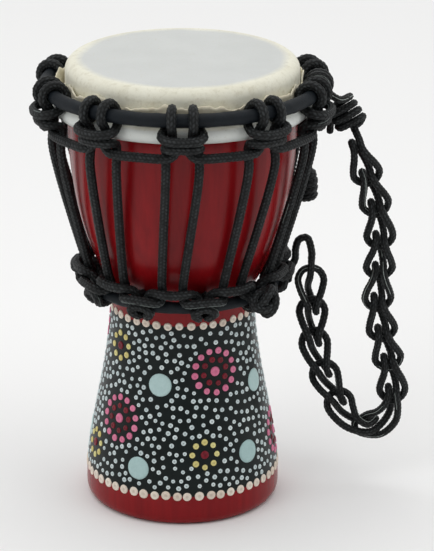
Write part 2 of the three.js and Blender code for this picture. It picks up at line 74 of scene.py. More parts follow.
def curve_through(points, places, closed=False):
    """Points of a smooth curve at the given places, counted in the points that it passes."""
    p = np.asarray(points, float)
    around = np.vstack([2 * p[0] - p[1], p, 2 * p[-1] - p[-2]])
    take = (lambda i: p[i % len(p)]) if closed else (lambda i: around[i + 1])
    i = np.minimum(np.floor(places).astype(int), len(p) - (1 if closed else 2))
    w = (places - i)[:, None]
    p0, p1, p2, p3 = take(i - 1), take(i), take(i + 1), take(i + 2)
    a, b, c = (
        np.sqrt(np.linalg.norm(q - o, axis=1))[:, None] for o, q in ((p0, p1), (p1, p2), (p2, p3))
    )
    m1 = ((p1 - p0) / a - (p2 - p0) / (a + b) + (p2 - p1) / b) * b
    m2 = ((p2 - p1) / b - (p3 - p1) / (b + c) + (p3 - p2) / c) * b
    return (
        p1 + m1 * w + (3 * (p2 - p1) - 2 * m1 - m2) * w**2 + (2 * (p1 - p2) + m1 + m2) * w**3
    )


tube_tree = bpy.data.node_groups.new("rope_tube", "GeometryNodeTree")
tube_sockets = {}
for label, kind in (
    ("Line", "Geometry"), ("Radius", "Float"), ("Sides", "Int"), ("Step", "Float"),
    ("Finish", "Material"),
):
    tube_sockets[label] = tube_tree.interface.new_socket(
        label, in_out="INPUT", socket_type="NodeSocket" + kind
    )
tube_tree.interface.new_socket("Tube", in_out="OUTPUT", socket_type="NodeSocketGeometry")


def grow(kind, *sockets, output=0, **settings):
    made = tube_tree.nodes.new(kind)
    for key, value in settings.items():
        setattr(made, key, value)
    for place, value in enumerate(sockets):
        if isinstance(value, bpy.types.NodeSocket):
            tube_tree.links.new(value, made.inputs[place])
        elif value is not None:
            made.inputs[place].default_value = value
    return made.outputs[output]


tube_in = tube_tree.nodes.new("NodeGroupInput").outputs
line = grow("GeometryNodeMeshToCurve", tube_in["Line"])
line = grow("GeometryNodeResampleCurve", line, None, None, tube_in["Step"], mode="LENGTH")
walked = tube_tree.nodes.new("GeometryNodeSplineParameter")
left = grow(
    "ShaderNodeMath",
    grow("GeometryNodeSplineLength"), walked.outputs["Length"], operation="SUBTRACT",
)
near_end = grow(
    "ShaderNodeMath",
    grow("ShaderNodeMath", walked.outputs["Length"], left, operation="MINIMUM"),
    tube_in["Radius"], operation="DIVIDE", use_clamp=True,
)
near_end = grow(
    "ShaderNodeMath", near_end, grow("GeometryNodeInputSplineCyclic"), operation="MAXIMUM"
)
dome = grow("ShaderNodeMath", 2, near_end, operation="SUBTRACT")
dome = grow("ShaderNodeMath", dome, near_end, operation="MULTIPLY")
dome = grow("ShaderNodeMath", dome, operation="SQRT")
keep_along = tube_tree.nodes.new("GeometryNodeCaptureAttribute")
keep_along.capture_items.new("FLOAT", "along")
keep_along.capture_items.new("VECTOR", "middle")
spot = grow("GeometryNodeInputPosition")
tube_tree.links.new(line, keep_along.inputs[0])
tube_tree.links.new(walked.outputs["Length"], keep_along.inputs[1])
tube_tree.links.new(spot, keep_along.inputs[2])
sides = grow("ShaderNodeMath", tube_in["Sides"], 1, operation="ADD")
ring = tube_tree.nodes.new("GeometryNodeCurveArc")
ring.mode = "RADIUS"
tube_tree.links.new(sides, ring.inputs["Resolution"])
tube_tree.links.new(tube_in["Radius"], ring.inputs["Radius"])
ring.inputs["Start Angle"].default_value = 0
ring.inputs["Sweep Angle"].default_value = 2 * math.pi
keep_round = tube_tree.nodes.new("GeometryNodeCaptureAttribute")
keep_round.capture_items.new("FLOAT", "round")
tube_tree.links.new(ring.outputs[0], keep_round.inputs[0])
tube_tree.links.new(
    tube_tree.nodes.new("GeometryNodeSplineParameter").outputs["Factor"], keep_round.inputs[1]
)
tube = grow("GeometryNodeCurveToMesh", keep_along.outputs[0], keep_round.outputs[0], dome)
millimetres = grow("ShaderNodeMath", keep_along.outputs[1], 1 / mm, operation="MULTIPLY")
unrolled = grow("ShaderNodeCombineXYZ", keep_round.outputs[1], millimetres)
tube = grow(
    "GeometryNodeStoreNamedAttribute", tube, None, "UVMap", unrolled,
    data_type="FLOAT2", domain="CORNER",
)
columns = grow("ShaderNodeMath", keep_round.outputs[1], braid_columns, operation="MULTIPLY")
bulge = grow("ShaderNodeMath", columns, operation="FRACT")
bulge = grow("ShaderNodeMath", bulge, math.pi, operation="MULTIPLY")
bulge = grow("ShaderNodeMath", bulge, operation="SINE")
odd = grow("ShaderNodeMath", columns, operation="FLOOR")
odd = grow("ShaderNodeMath", odd, 2, operation="FLOORED_MODULO")
pick = grow("ShaderNodeMath", millimetres, 1 / braid_pick, operation="MULTIPLY")
pick = grow("ShaderNodeMath", odd, 0.5, pick, operation="MULTIPLY_ADD")
pick = grow("ShaderNodeMath", pick, math.pi, operation="MULTIPLY")
pick = grow("ShaderNodeMath", pick, operation="SINE")
pick = grow("ShaderNodeMath", pick, operation="ABSOLUTE")
pick = grow("ShaderNodeMath", pick, 0.6, operation="POWER")
relief = grow("ShaderNodeMath", pick, bulge, operation="MULTIPLY")
relief = grow("ShaderNodeMath", relief, 0.6, operation="SUBTRACT")
relief = grow("ShaderNodeMath", relief, braid_relief, 1, operation="MULTIPLY_ADD")
middle = keep_along.outputs[2]
reach = grow("ShaderNodeVectorMath", spot, middle, operation="SUBTRACT")
reach = grow("ShaderNodeVectorMath", reach, None, None, relief, operation="SCALE")
reach = grow("ShaderNodeVectorMath", reach, middle, operation="ADD")
tube = grow("GeometryNodeSetPosition", tube, None, reach)
tube = grow("GeometryNodeMergeByDistance", tube, None, 0.00002)
tube = grow("GeometryNodeSetShadeSmooth", tube)
tube = grow("GeometryNodeRealizeInstances", tube)
tube = grow("GeometryNodeSetMaterial", tube, None, tube_in["Finish"])
tube_tree.links.new(tube, tube_tree.nodes.new("NodeGroupOutput").inputs[0])


def finish(name):
    """A new material with its shader, and calls that add a node, a sum and a mix of colours."""
    made = bpy.data.materials.new(name)
    made.use_nodes = True
    nodes, links = made.node_tree.nodes, made.node_tree.links
    shader = nodes["Principled BSDF"]

    def node(kind, *sockets, output=0, **settings):
        new = nodes.new(kind)
        for key, value in settings.items():
            setattr(new, key, value)
        for place, value in enumerate(sockets):
            if isinstance(value, bpy.types.NodeSocket):
                links.new(value, new.inputs[place])
            elif value is not None:
                new.inputs[place].default_value = value
        return new.outputs[output]

    def sums(operation, *values, **settings):
        return node("ShaderNodeMath", *values, operation=operation, **settings)

    def mixed(share, one, other):
        return node(
            "ShaderNodeMix", share, None, None, None, None, None, one, other,
            data_type="RGBA", output=2,
        )

    def put(**sockets):
        for key, value in sockets.items():
            socket = shader.inputs[key.replace("_", " ")]
            if isinstance(value, bpy.types.NodeSocket):
                links.new(value, socket)
            else:
                socket.default_value = value

    return made, node, sums, mixed, put


def rope_finish(name, tracer_shade):
    """Black braid in slanted picks on eight columns, with painted shade in the grooves and painted
    highlights on the picks, and one pale thread that wanders.
    """
    made, node, sums, mixed, put = finish(name)
    unrolled = node("ShaderNodeSeparateXYZ", node("ShaderNodeUVMap", uv_map="UVMap")).node.outputs
    columns = sums("MULTIPLY", unrolled[0], braid_columns)
    column = sums("FLOOR", columns)
    across = sums("SUBTRACT", sums("FRACT", columns), 0.5)
    odd = sums("FLOORED_MODULO", column, 2)
    slant = sums("MULTIPLY", sums("SUBTRACT", 0.5, odd), across)
    pick = sums("ADD", sums("DIVIDE", unrolled[1], braid_pick), sums("MULTIPLY", odd, 0.5))
    pick = sums("ADD", pick, slant)
    ridge = sums("ABSOLUTE", sums("SINE", sums("MULTIPLY", pick, math.pi)))
    bulge = sums("COSINE", sums("MULTIPLY", across, math.pi))
    height = sums("MULTIPLY", sums("POWER", ridge, 0.7), sums("POWER", bulge, 0.7))
    each = node(
        "ShaderNodeTexWhiteNoise", node("ShaderNodeCombineXYZ", sums("FLOOR", pick), column)
    )
    fibres = node(
        "ShaderNodeTexNoise",
        node("ShaderNodeCombineXYZ", sums("MULTIPLY", unrolled[0], 50),
             sums("ADD", unrolled[1], sums("MULTIPLY", slant, 6))),
        None, 2.0, 2.0, 0.6,
    )
    # Painted light: the colour follows the picks' relief, dark in the grooves (painted shade) and
    # light on their tops (painted highlights), with a random tone per pick.
    light = sums("MULTIPLY", sums("POWER", height, 1.6), sums("ADD", each, 0.35))
    light = sums("MULTIPLY", light, sums("ADD", fibres, 0.4))
    colour = mixed(light, (0.0012, 0.0014, 0.0015, 1), (0.036, 0.041, 0.043, 1))
    wander = sums("MULTIPLY", sums("SINE", sums("DIVIDE", unrolled[1], 37.0)), 0.16)
    thread = sums("ABSOLUTE", sums("SUBTRACT", unrolled[0], sums("ADD", wander, 0.42)))
    broken = node("ShaderNodeTexNoise", node("ShaderNodeCombineXYZ", 7.0, unrolled[1]), None, 0.06)
    thread = sums("MULTIPLY", sums("LESS_THAN", thread, 0.014), sums("GREATER_THAN", broken, 0.5))
    thread = sums("MULTIPLY", thread, 0.8)
    colour = mixed(thread, colour, (*tracer_shade, 1))
    relief = sums("ADD", height, sums("MULTIPLY", fibres, 0.35))
    put(
        Base_Color=colour, Roughness=0.55, Specular_IOR_Level=0.22,
        Normal=node("ShaderNodeBump", 0.8, 0.0003, None, relief),
    )
    return made


def rope(name, points, radius, surface, closed=False, step=0.42):
    """A tube along the points, in millimetres, that the ropes' tree makes; and its line."""
    p = np.asarray(points, float)
    spans = len(p) if closed else len(p) - 1
    line = curve_through(p, np.arange(spans * 12 + (not closed)) / 12, closed)
    walk = bpy.data.meshes.new(name + "_line")
    count = len(line)
    pairs = [(i, (i + 1) % count) for i in range(count if closed else count - 1)]
    walk.from_pydata((line * mm).tolist(), pairs, [])
    source = bpy.data.objects.new(name + "_line", walk)
    scene.collection.objects.link(source)
    modifier = source.modifiers.new("tube", "NODES")
    modifier.node_group = tube_tree
    for label, value in (("Radius", radius * mm), ("Sides", 16), ("Step", step * mm),
                         ("Finish", surface)):
        modifier[tube_sockets[label].identifier] = value
    graph = bpy.context.evaluated_depsgraph_get()
    mesh = bpy.data.meshes.new_from_object(
        source.evaluated_get(graph), preserve_all_data_layers=True, depsgraph=graph
    )
    bpy.data.objects.remove(source)
    whole = bmesh.new()
    whole.from_mesh(mesh)
    bmesh.ops.recalc_face_normals(whole, faces=whole.faces)
    whole.to_mesh(mesh)
    whole.free()
    made = bpy.data.objects.new(name, mesh)
    scene.collection.objects.link(made)
    return made, line * mm


drum_rope_finish = rope_finish("drum_rope", (0.16, 0.19, 0.18))
strap_rope_finish = rope_finish("strap_rope", (0.36, 0.40, 0.38))

strap_radius = 1.62
strap_lane = 3.6
strap_stitches = 14
strap_bend_allowance = 8.2
strap_route = np.array([
    [75.4, -2.5, 165.6], [78.6, -1.7, 156.6], [83.4, -0.9, 141.7], [86.7, -0.1, 127.5],
    [87.4, 0.8, 108.4], [87.3, 1.6, 89.0], [90.5, 2.4, 70.4], [94.1, 3.2, 53.5],
    [94.7, 4.0, 40.4], [91.4, 4.8, 31.4], [83.4, 5.6, 26.9], [75.6, 6.4, 31.0],
    [69.6, 7.2, 41.4], [63.6, 8.1, 53.5], [59.4, 8.9, 67.8], [58.3, 9.7, 82.0],
    [57.6, 10.4, 95.0], [57.4, 10.6, 104.6],
])
rising = [
    [-0.51, -0.02, -0.08], [-0.52, 0.17, 0.68], [-0.87, 0.46, 0.82], [-1.36, 0.77, 0.48],
    [-1.59, 1.08, 0.01], [-1.0, 1.32, -0.28],
]
stitch = rising + [[0, 1.41, -0.2]] + [[-s, o, f] for s, o, f in rising[::-1]] + [
    [0.35, 0.12, -0.93], [-0.04, 0.4, -1.3], [-0.36, 0.71, -0.83],
]
chain_start = [-0.43, -0.18, -0.62]
chain_end = [[-0.3, 0.98, 0.1], [-0.12, 1.2, 0.8], [0, 1.5, 1.05], [0.05, 1.75, 1.0]]

samples = 300
strap_line = curve_through(strap_route, np.linspace(0, len(strap_route) - 1, samples + 1))
strap_steps = np.linalg.norm(np.diff(strap_line, axis=0), axis=1)


def strap_slope(i):
    way = strap_line[min(i + 6, samples)] - strap_line[max(i - 6, 0)]
    return way / np.linalg.norm(way)


counted = [0.0]
for i in range(samples):
    low, high = max(i - 6, 0), min(i + 7, samples)
    turn = math.acos(min(1.0, float(strap_slope(low) @ strap_slope(high))))
    bend = turn / strap_steps[low:high].sum()
    counted.append(counted[i] + strap_steps[i] / (1 + bend * strap_bend_allowance))
strap_scale = (strap_stitches + 0.62) / counted[samples]


def strap_place(side, on, forward, number):
    target = (number + on + 0.02) / strap_scale
    i = min(max(int(np.searchsorted(counted, target)) - 1, 0), samples - 1)
    share = (target - counted[i]) / (counted[i + 1] - counted[i])
    place = strap_line[i] + (strap_line[i + 1] - strap_line[i]) * share
    tangent = strap_slope(i) * (1 - share) + strap_slope(i + 1) * share
    tangent /= np.linalg.norm(tangent)
    across = np.cross(tangent, [0, -1, 0])
    across /= np.linalg.norm(across)
    return place + across * side * strap_lane + np.cross(across, tangent) * forward * strap_lane


chain = [strap_place(*chain_start, 0)]
for number in range(strap_stitches):
    chain += [strap_place(*p, number) for p in stitch]
chain += [strap_place(*p, strap_stitches - 1) for p in chain_end]
swing_gap = 0.5


def past(end, before, distance):
    way = end - before
    return end + way / np.linalg.norm(way) * distance


chain_over = (
    past(chain[0], chain[1], swing_gap / 2 + strap_radius),
    past(chain[-1], chain[-2], swing_gap / 2 + strap_radius),
)
strap, strap_centre = rope(
    "strap_rope", [chain_over[0], *chain, chain_over[1]], strap_radius, strap_rope_finish
)
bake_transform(strap)
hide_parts("strap_chain")

# Crown ring's rope: one black braided rope, 4 mm thick, tied round the whole crown ring in ten
# knots of two loops, with slack swags between them.
rope_radius = 2.0
lane = 4.0
crown_lift = 5.3
crown_wrap, waist_wrap = 5.12, 4.72
waist_lift = 4.87
strap_crown_wrap, strap_waist_wrap = 4.85, 4.45
knot_count, front_angle, waist_hitch_angle = 10, -90, 12.25
knot_step = 360 / knot_count
crown_radius, crown_height, crown_back_drop = 59.2, 193.0, 3.0
waist_radius, waist_height = 41.0, 102.8


def hung(points):
    """Points of the crown, which hangs lower at the back than in front."""
    points = np.array(points, float)
    drop = crown_back_drop / 2 / crown_radius * (points[..., 1] + crown_radius)
    points[..., 2] -= drop
    return points


def beside_ring(ring_radius, ring_height, knot, along, out, up):
    turn = math.degrees(along / ring_radius)
    return polar(knot + turn, ring_radius + out, ring_height + up)


def round_ring(lift, along, degrees):
    return along, lift * math.cos(math.radians(degrees)), lift * math.sin(math.radians(degrees))


def below(lanes):
    return -crown_lift - lanes * lane


crown_half = [
    (1.75 * lane, 0.42 * lane, below(2.72)), (1.2 * lane, 0.26 * lane, below(2.6)),
    (0.66 * lane, 0.1 * lane, below(1.95)), (0.98 * lane, 0.02 * lane, below(1.05)),
    *(round_ring(crown_wrap, share * lane, degrees) for share, degrees in (
        (1.04, -60), (1.05, -15), (1.06, 30), (1.08, 75), (1.16, 120), (1.36, 165),
        (1.66, 210), (1.96, 255))),
    (2.1 * lane, 0.72 * lane, below(0.25)), (1.62 * lane, 1.46 * lane, below(0.42)),
]
crown_points = []
for i in range(knot_count):
    knot = front_angle + i * knot_step
    crown_points.append(
        beside_ring(crown_radius, crown_height, knot - knot_step / 2, 0, 0.4 * lane, below(2.75))
    )
    crown_points += [
        beside_ring(crown_radius, crown_height, knot, -a, o, u) for a, o, u in crown_half
    ]
    crown_points.append(
        beside_ring(crown_radius, crown_height, knot, 0, 1.8 * lane, below(0.55))
    )
    crown_points += [
        beside_ring(crown_radius, crown_height, knot, a, o, u) for a, o, u in crown_half[::-1]
    ]
crown_rope, _ = rope("crown_rope", hung(crown_points), rope_radius, drum_rope_finish, closed=True)
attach(crown_rope, "drum")
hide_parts("crown_cradle_rope")

# Waist ring's rope: one rope of the same braid, tied round the ring in ten hitches, each with a
# bar in front and its two legs side by side underneath.
waist_half = [
    (2.2 * lane, 1.46 * lane, waist_lift + 0.76 * lane),
    (1.55 * lane, 1.22 * lane, waist_lift + 0.74 * lane),
    (1.0 * lane, 0.64 * lane, waist_lift + 0.46 * lane),
    *(round_ring(waist_wrap, share * lane, degrees) for share, degrees in (
        (0.56, 78), (0.52, 120), (0.52, 162), (0.52, 204), (0.51, 246), (0.51, 282),
        (0.64, 312), (0.98, 335), (0.86, 354))),
]
waist_points = []
for i in range(knot_count):
    knot = front_angle + waist_hitch_angle + i * knot_step
    waist_points.append(beside_ring(
        waist_radius, waist_height, knot - knot_step / 2, 0, 1.48 * lane, waist_lift + 0.7 * lane
    ))
    waist_points += [
        beside_ring(waist_radius, waist_height, knot, -a, o, u) for a, o, u in waist_half
    ]
    waist_points.append(
        beside_ring(waist_radius, waist_height, knot, *round_ring(waist_lift, 0, 370))
    )
    waist_points += [
        beside_ring(waist_radius, waist_height, knot, a, o, u) for a, o, u in waist_half[::-1]
    ]
waist_rope, _ = rope("waist_rope", waist_points, rope_radius, drum_rope_finish, closed=True)
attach(waist_rope, "drum")
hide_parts("waist_cradle_rope")

# Lacing: one rope that zigzags between the crown knots and the waist hitches, pulled straight
# in its twenty legs, with its two ends tied in a ball of rope at the right of the front.
crown_leg_angle, waist_leg_angle = 7, 12


def crown_place(degrees, out, down):
    return hung(polar(degrees, crown_radius + out * lane, crown_height - crown_lift - down * lane))


def waist_place(degrees, out, up):
    return polar(degrees, waist_radius + out * lane, waist_height + waist_lift + up * lane)


def upper_turn(knot):
    foot, reach = knot + waist_hitch_angle - knot_step / 2, knot_step / 2 - waist_leg_angle

    def side(sign):
        leg = knot + sign * crown_leg_angle
        return [
            waist_place(foot + sign * reach, 0.28, 0.66),
            waist_place(foot + sign * reach, 0.58, 1.46),
            crown_place(leg, -0.45, 4.7), crown_place(leg, -0.58, 2.85),
            crown_place(leg, -0.48, 2.0), crown_place(leg, 0.3, 1.62),
            crown_place(knot + sign * crown_leg_angle * 0.72, 1.16, 1.5),
        ]

    return side(-1) + [crown_place(knot, 1.4, 1.46)] + side(1)[::-1]


def lower_turn(hitch):
    def side(sign):
        return [
            waist_place(hitch + sign * share * waist_leg_angle, out, up)
            for share, out, up in ((0.97, 0.72, -0.15), (0.8, 1.3, -0.3), (0.56, 1.66, -0.2))
        ]

    return side(-1) + [waist_place(hitch, 1.74, -0.1)] + side(1)[::-1]


ball_distance, ball_height, ball_angle = 52.4, 105.0, -47
last_hitch = front_angle + waist_hitch_angle + knot_step
ball_reach = math.degrees(6.9 / ball_distance)


def ball_side(sign):
    return polar(ball_angle + sign * ball_reach * 0.8, ball_distance - 1.0, ball_height)


lacing_points = [ball_side(1)]
lacing_points += [waist_place(last_hitch + share * waist_leg_angle, out, up)
                  for share, out, up in ((0.86, 1.3, -0.3), (0.97, 0.72, -0.15))]
for i in range(knot_count):
    knot = front_angle + (2 + i) * knot_step
    lacing_points += upper_turn(knot)
    if i < knot_count - 1:
        lacing_points += lower_turn(knot + waist_hitch_angle)
lacing_points += [waist_place(last_hitch - share * waist_leg_angle, out, up)
                  for share, out, up in ((0.97, 0.72, -0.15), (0.86, 1.3, -0.3))]
lacing_points.append(ball_side(-1))
lacing, _ = rope("lacing", lacing_points, rope_radius, drum_rope_finish)
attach(lacing, "drum")
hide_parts("lacing_rope")

# Lacing's end knot: three turns of the same rope, woven over and under each other into a ball
# that stands in front of the waist ring, right of the front.
ball_centre = polar(ball_angle, ball_distance + 0.3, ball_height)
ball_out, ball_along = polar(ball_angle, 1, 0), polar(ball_angle + 90, 1, 0)
tilt, ball_steps = math.radians(38), 60
ball_deep, ball_wide, ball_tall = 3.6, 4.9, 5.2
ball_points = []
for k in range(ball_steps):
    turn = 3 * 2 * math.pi * k / ball_steps
    rise = 0.78 * math.cos(turn * 2 / 3)
    reach = 1 + 0.16 * math.sin(turn * 4 / 3)
    flat, up = math.cos(rise) * math.sin(turn), math.sin(rise)
    deep = math.cos(rise) * math.cos(turn)
    wide = flat * math.cos(tilt) - up * math.sin(tilt)
    tall = flat * math.sin(tilt) + up * math.cos(tilt)
    ball_points.append(ball_centre + reach * (
        ball_deep * deep * ball_out + ball_wide * wide * ball_along
        + np.array([0, 0, ball_tall * tall])
    ))
ball_knot, _ = rope("ball_knot", ball_points, rope_radius, drum_rope_finish, closed=True)
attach(ball_knot, "drum")
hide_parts("lacing_end_knot")

# Crown rope's end knot: a barrel of wraps at the back right, on the rope's two ends, which
# hang down to it from the crown.
barrel_angle, barrel_distance = 16, 57.6
barrel_height = 141.0 - 1.9
barrel_steps, steps_in_wrap, barrel_reach, barrel_girth = 56, 13, 6.6, 2.95
barrel_points = []
for k in range(barrel_steps + 1):
    turn = 2 * math.pi * k / steps_in_wrap
    lean = k / barrel_steps
    swell = barrel_girth * (0.62 + 0.38 * min(1, 5 * lean, 5 * (1 - lean)))
    barrel_points.append(
        polar(barrel_angle, barrel_distance,
              barrel_height - barrel_reach + 2 * barrel_reach * lean)
        + swell * math.cos(turn) * polar(barrel_angle, 1, 0)
        + 1.1 * swell * math.sin(turn) * polar(barrel_angle + 90, 1, 0)
    )
barrel_knot, _ = rope("barrel_knot", barrel_points, rope_radius, drum_rope_finish)
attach(barrel_knot, "drum")
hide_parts("crown_rope_knot")
tail_radius, tail_foot, tail_top = 1.85, 147.5, 176.8
for label, sign in (("left", -1), ("right", 1)):
    spread = math.degrees(0.52 * lane / barrel_distance)
    knot = front_angle + 3 * knot_step
    ends = [
        polar(barrel_angle + (knot - barrel_angle) * share + sign * spread,
              barrel_distance - 0.25 * lane * share, tail_foot + (tail_top - tail_foot) * share)
        for share in (0, 0.3, 0.6, 0.85, 1)
    ]
    tail, _ = rope("crown_tail_" + label, hung(ends), tail_radius, drum_rope_finish)
    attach(tail, "drum")
    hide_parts("crown_rope_tail_" + label)

# Strap ties: the strap rope's two ends, turned round the crown ring and the waist ring, each
# with its cut end hanging free. The chain's ends are sunk in theirs.
strap_top_angle, strap_bottom_angle = -1.6, 12.25


def tie_start(end, before):
    return [
        past(end, before, swing_gap / 2 - strap_radius), past(end, before, swing_gap + 1.2),
        past(end, before, swing_gap + 3.0),
    ]


def top_place(along, out, down):
    return hung(beside_ring(crown_radius, crown_height, strap_top_angle,
                            along * lane, out * lane, -crown_lift - down * lane))


def bottom_place(along, out, up):
    return beside_ring(waist_radius, waist_height, strap_bottom_angle,
                       along * lane, out * lane, up * lane)


coil_foot, coil_slope = np.array([73.7, 0, 173.3]), math.radians(33)
coil_turns, coil_reach, coil_bend = 3, 3.6, 2.2
coil_way = np.array([math.cos(coil_slope), 0, math.sin(coil_slope)])
coil_onward = np.array([-math.sin(coil_slope), 0, math.cos(coil_slope)])
top_points = tie_start(chain[0], chain[1]) + [np.array([77.3, 2.2, 172.9])]
for i in range(coil_turns * 6 + 1):
    turn = i * math.pi / 3
    side = (1, 1, -1, -1, -1, 1)[i % 6]
    top_points.append(
        coil_foot + coil_way * (side * coil_reach + coil_bend * math.cos(turn))
        + np.array([0, -coil_bend * math.sin(turn), 0]) + coil_onward * i / 6 * strap_lane
    )
top_points.append(top_place(-1, 2.2, 0.1))
top_points += [
    hung(beside_ring(crown_radius, crown_height, strap_top_angle, *round_ring(
        strap_crown_wrap, (-1 + 2.1 * i / 14) * strap_lane, -30 + i * 45)))
    for i in range(15)
]
top_points += [top_place(1.35, 0.8, 0.95), top_place(1.9, 1.4, 2.3), top_place(2, 1.5, 3.6),
               top_place(1.95, 1.45, 5)]
top_tie, _ = rope("top_tie", top_points, strap_radius, strap_rope_finish)
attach(top_tie, "drum")
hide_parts("strap_top_tie")
bottom_points = tie_start(chain[-1], chain[-2])
bottom_points += [bottom_place(-0.7, 3.75, 3.6), bottom_place(-0.6, 2.9, 3.4),
                  bottom_place(-0.45, 2.55, 2.3), bottom_place(-0.4, 2.5, 1.0),
                  bottom_place(-0.5, 1.85, 0)]
bottom_points += [
    beside_ring(waist_radius, waist_height, strap_bottom_angle, *round_ring(
        strap_waist_wrap, (-0.55 + 1.1 * i / 7) * strap_lane, -30 - i * 45))
    for i in range(8)
]
bottom_points += [
    bottom_place(0.6, 1.9, 0.1), bottom_place(0.7, 2.2, -1.0), bottom_place(0.7, 2.1, -2.3),
]
bottom_tie, _ = rope("bottom_tie", bottom_points, strap_radius, strap_rope_finish)
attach(bottom_tie, "drum")
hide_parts("strap_bottom_tie")


# Rings' cloth: a black strip wound tight round each steel ring, its edges lapping in a slant.
def wound_cloth(name, ring_radius, ring_height, radius, laps, around, surface, settle):
    turns = np.arange(around) * 2 * np.pi / around
    rounds = np.arange(28) * 2 * np.pi / 28
    phi, theta = np.meshgrid(turns, rounds, indexing="ij")
    lap = (laps * phi / (2 * np.pi) + theta / (2 * np.pi)) % 1
    reach = radius + 0.16 * np.clip(1 - 5 * lap, 0, 1) + 0.05 * np.sin(phi * 23 + 2 * theta)
    distance = ring_radius + reach * np.cos(theta)
    points = np.stack([
        distance * np.cos(phi), distance * np.sin(phi), ring_height + reach * np.sin(theta)
    ], axis=-1).reshape(-1, 3)
    faces = [
        (i * 28 + j, ((i + 1) % around) * 28 + j, ((i + 1) % around) * 28 + (j + 1) % 28,
         i * 28 + (j + 1) % 28)
        for i in range(around) for j in range(28)
    ]
    mesh = bpy.data.meshes.new(name)
    mesh.from_pydata((settle(points) * mm).tolist(), [], faces)
    uv = mesh.uv_layers.new(name="UVMap")
    spots = [
        (theta_j * radius, phi_i * ring_radius)
        for i in range(around) for j in range(28)
        for phi_i, theta_j in (
            (i * 2 * np.pi / around, j * 2 * np.pi / 28),
            ((i + 1) * 2 * np.pi / around, j * 2 * np.pi / 28),
            ((i + 1) * 2 * np.pi / around, (j + 1) * 2 * np.pi / 28),
            (i * 2 * np.pi / around, (j + 1) * 2 * np.pi / 28))
    ]
    uv.data.foreach_set("uv", np.array(spots).ravel())
    mesh.polygons.foreach_set("use_smooth", [True] * len(mesh.polygons))
    mesh.materials.append(surface)
    whole = bmesh.new()
    whole.from_mesh(mesh)
    bmesh.ops.recalc_face_normals(whole, faces=whole.faces)
    whole.to_mesh(mesh)
    whole.free()
    made = bpy.data.objects.new(name, mesh)
    scene.collection.objects.link(made)
    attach(made, "drum")
    return made


ring_cloth, node, sums, mixed, put = finish("ring_cloth")
unrolled = node("ShaderNodeSeparateXYZ", node("ShaderNodeUVMap", uv_map="UVMap")).node.outputs
warp = sums("SINE", sums("MULTIPLY", sums("ADD", unrolled[0], unrolled[1]), 9.0))
weft = sums("SINE", sums("MULTIPLY", sums("SUBTRACT", unrolled[0], unrolled[1]), 9.0))
weave = sums("MULTIPLY", warp, weft)
lint = node("ShaderNodeTexNoise", node("ShaderNodeTexCoord", output=3), None, 350.0, 3.0, 0.6)
shade = sums("ADD", sums("MULTIPLY", weave, 0.18), lint)
put(
    Base_Color=mixed(shade, (0.0015, 0.0028, 0.0042, 1), (0.0075, 0.012, 0.017, 1)),
    Roughness=0.6, Specular_IOR_Level=0.22,
    Normal=node("ShaderNodeBump", 0.35, 0.00008, None, weave),
)
crown_cloth = wound_cloth(
    "crown_cloth", crown_radius, crown_height, 3.0, 26, 360, ring_cloth, hung
)
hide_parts("crown_ring_cloth")
waist_cloth = wound_cloth(
    "waist_cloth", waist_radius, waist_height, 2.6, 19, 260, ring_cloth, np.array
)
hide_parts("waist_ring_cloth")

# Steel rings and hoop: plain rod, hidden inside the cloth and the skin's fold.
ring_steel, node, sums, mixed, put = finish("ring_steel")
rust = node("ShaderNodeTexNoise", node("ShaderNodeTexCoord", output=3), None, 120.0, 4.0, 0.6)
put(Base_Color=mixed(rust, (0.35, 0.35, 0.34, 1), (0.20, 0.19, 0.18, 1)), Metallic=1.0,
    Roughness=sums("ADD", sums("MULTIPLY", rust, 0.3), 0.3))
for name in ("flesh_hoop", "crown_ring", "waist_ring"):
    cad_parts[name].data.materials.clear()
    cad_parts[name].data.materials.append(ring_steel)


# Shell: goblet turned from one block of soft wood, stained red and lacquered, bare inside.
def handled(p0, p1, p2, p3, steps):
    t = (np.arange(steps) / steps)[:, None]
    s = 1 - t
    return (s**3 * np.array(p0) + 3 * s * s * t * np.array(p1)
            + 3 * s * t * t * np.array(p2) + t**3 * np.array(p3))


def arc(centre, radius, start, end, steps):
    turn = np.radians(np.linspace(start, end, steps + 1))
    return np.stack([centre[0] + radius * np.cos(turn), centre[1] + radius * np.sin(turn)], 1)


def turned(name, rings):
    """A mesh from rings of points: every ring is the closed outline at one angle."""
    count, width = rings.shape[:2]
    i, j = np.meshgrid(np.arange(count), np.arange(width), indexing="ij")
    ni, nj = (i + 1) % count, (j + 1) % width
    faces = np.stack([i * width + j, ni * width + j, ni * width + nj, i * width + nj], -1)
    mesh = bpy.data.meshes.new(name)
    mesh.from_pydata((rings.reshape(-1, 3) * mm).tolist(), [], faces.reshape(-1, 4).tolist())
    whole = bmesh.new()
    whole.from_mesh(mesh)
    bmesh.ops.remove_doubles(whole, verts=whole.verts, dist=1e-7)
    bmesh.ops.recalc_face_normals(whole, faces=whole.faces)
    whole.to_mesh(mesh)
    whole.free()
    mesh.polygons.foreach_set("use_smooth", [True] * len(mesh.polygons))
    made = bpy.data.objects.new(name, mesh)
    scene.collection.objects.link(made)
    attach(made, "drum")
    return made


